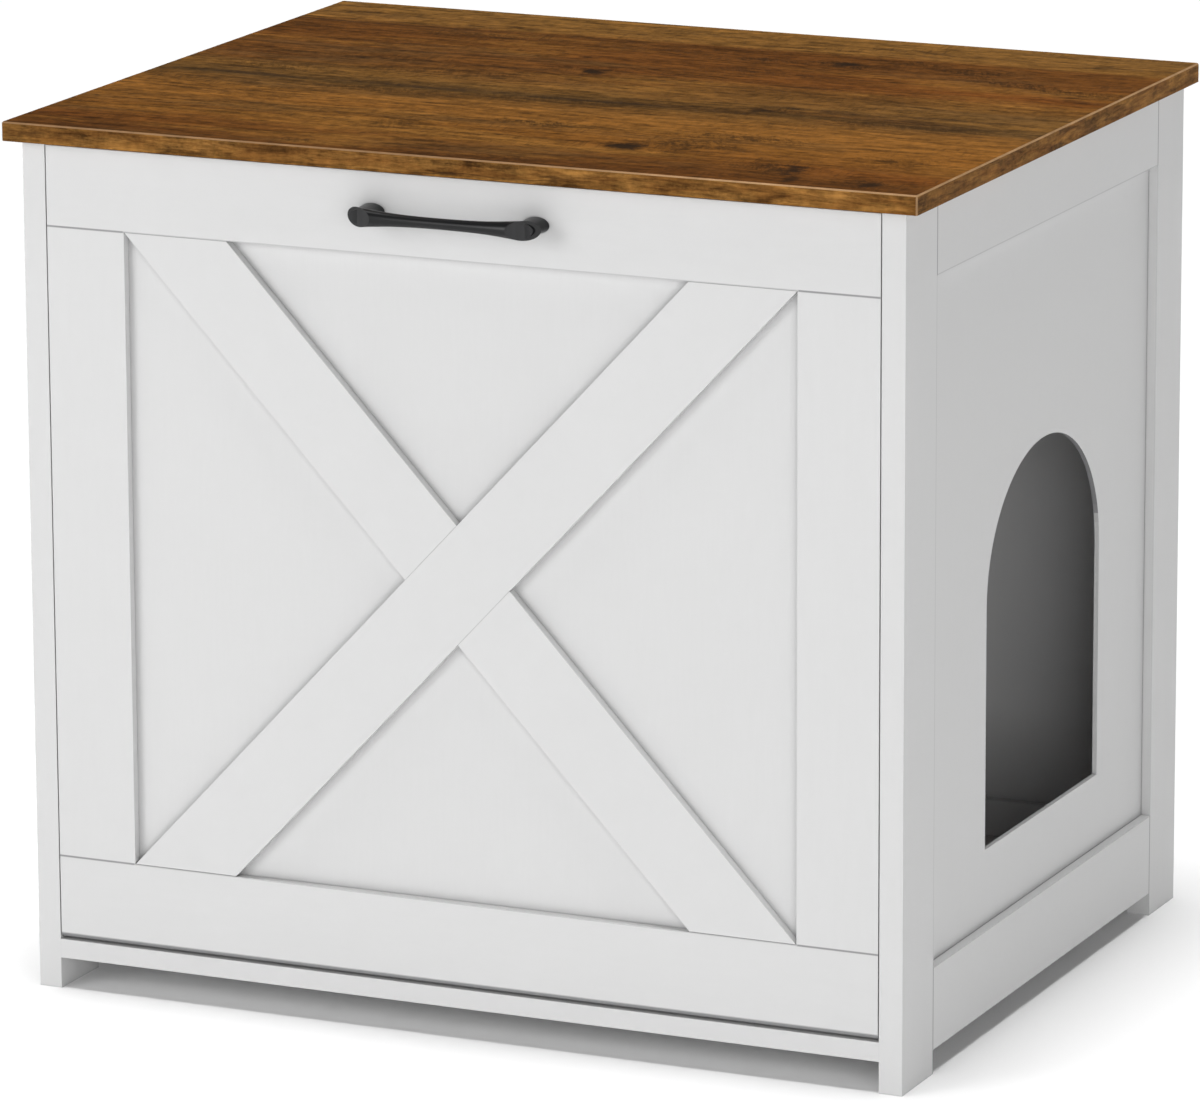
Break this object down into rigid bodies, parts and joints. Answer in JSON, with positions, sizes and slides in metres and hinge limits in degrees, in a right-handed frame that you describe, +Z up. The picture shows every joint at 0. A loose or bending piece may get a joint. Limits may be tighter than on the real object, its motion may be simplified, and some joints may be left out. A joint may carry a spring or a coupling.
{
  "type": "cat litter box cabinet",
  "caption": "Free-standing litter box cabinet with a wood-look top board, arched side doorway and a drop-front door with an X brace and bow handle.",
  "frame": {"origin": "on the floor, at the bottom centre of the overall box from the handle's front to the carcass back", "axes": "+X to the right seen from the front, -Y towards the front door, +Z up"},
  "size_m": [0.6, 0.4893, 0.548],
  "materials": {
    "wood_top": "rustic brown wood-look foil, satin",
    "white_board": "white laminated board, satin",
    "white_sheet": "white laminated thin sheet, satin",
    "handle_black": "black satin powder coat on cast zinc",
    "bolt_steel": "zinc-plated steel",
    "cam_zinc": "die-cast zinc",
    "dowel_wood": "raw beech",
    "nylon": "white nylon",
    "magnet": "dark ferrite"
  },
  "bodies": {
    "carcass": {"top_board": "wood_top", "post_front_right": "white_board", "post_front_left": "white_board", "post_back_right": "white_board", "post_back_left": "white_board", "side_rail_bottom_right": "white_board", "side_rail_bottom_left": "white_board", "side_rail_top_right": "white_board", "side_rail_top_left": "white_board", "side_panel_right": "white_sheet", "side_panel_left": "white_sheet", "back_panel": "white_sheet", "bottom_board": "white_board", "front_stretcher": "white_board", "back_rail_top": "white_board", "back_rail_bottom": "white_board", "cam_bolts": "bolt_steel", "cam_discs": "cam_zinc", "frame_dowels": "dowel_wood", "pivot_bushes": "nylon", "catch_sleeves": "nylon", "catch_magnets": "magnet"},
    "door": {"door_stile_right": "white_board", "door_stile_left": "white_board", "door_rail_bottom": "white_board", "door_rail_top": "white_board", "door_panel": "white_sheet", "brace_long": "white_board", "brace_upper": "white_board", "brace_lower": "white_board", "door_dowels": "dowel_wood", "door_pivot_pins": "bolt_steel", "strike_plates": "bolt_steel", "strike_screws": "bolt_steel", "handle": "handle_black", "handle_screws": "bolt_steel"}
  },
  "joints": [
    {"name": "door_hinge", "type": "hinge", "parent": "carcass", "child": "door", "pos_m": [0, -0.21425, 0.0387], "axis": [1, 0, 0], "range_deg": [0, 90]}
  ]
}
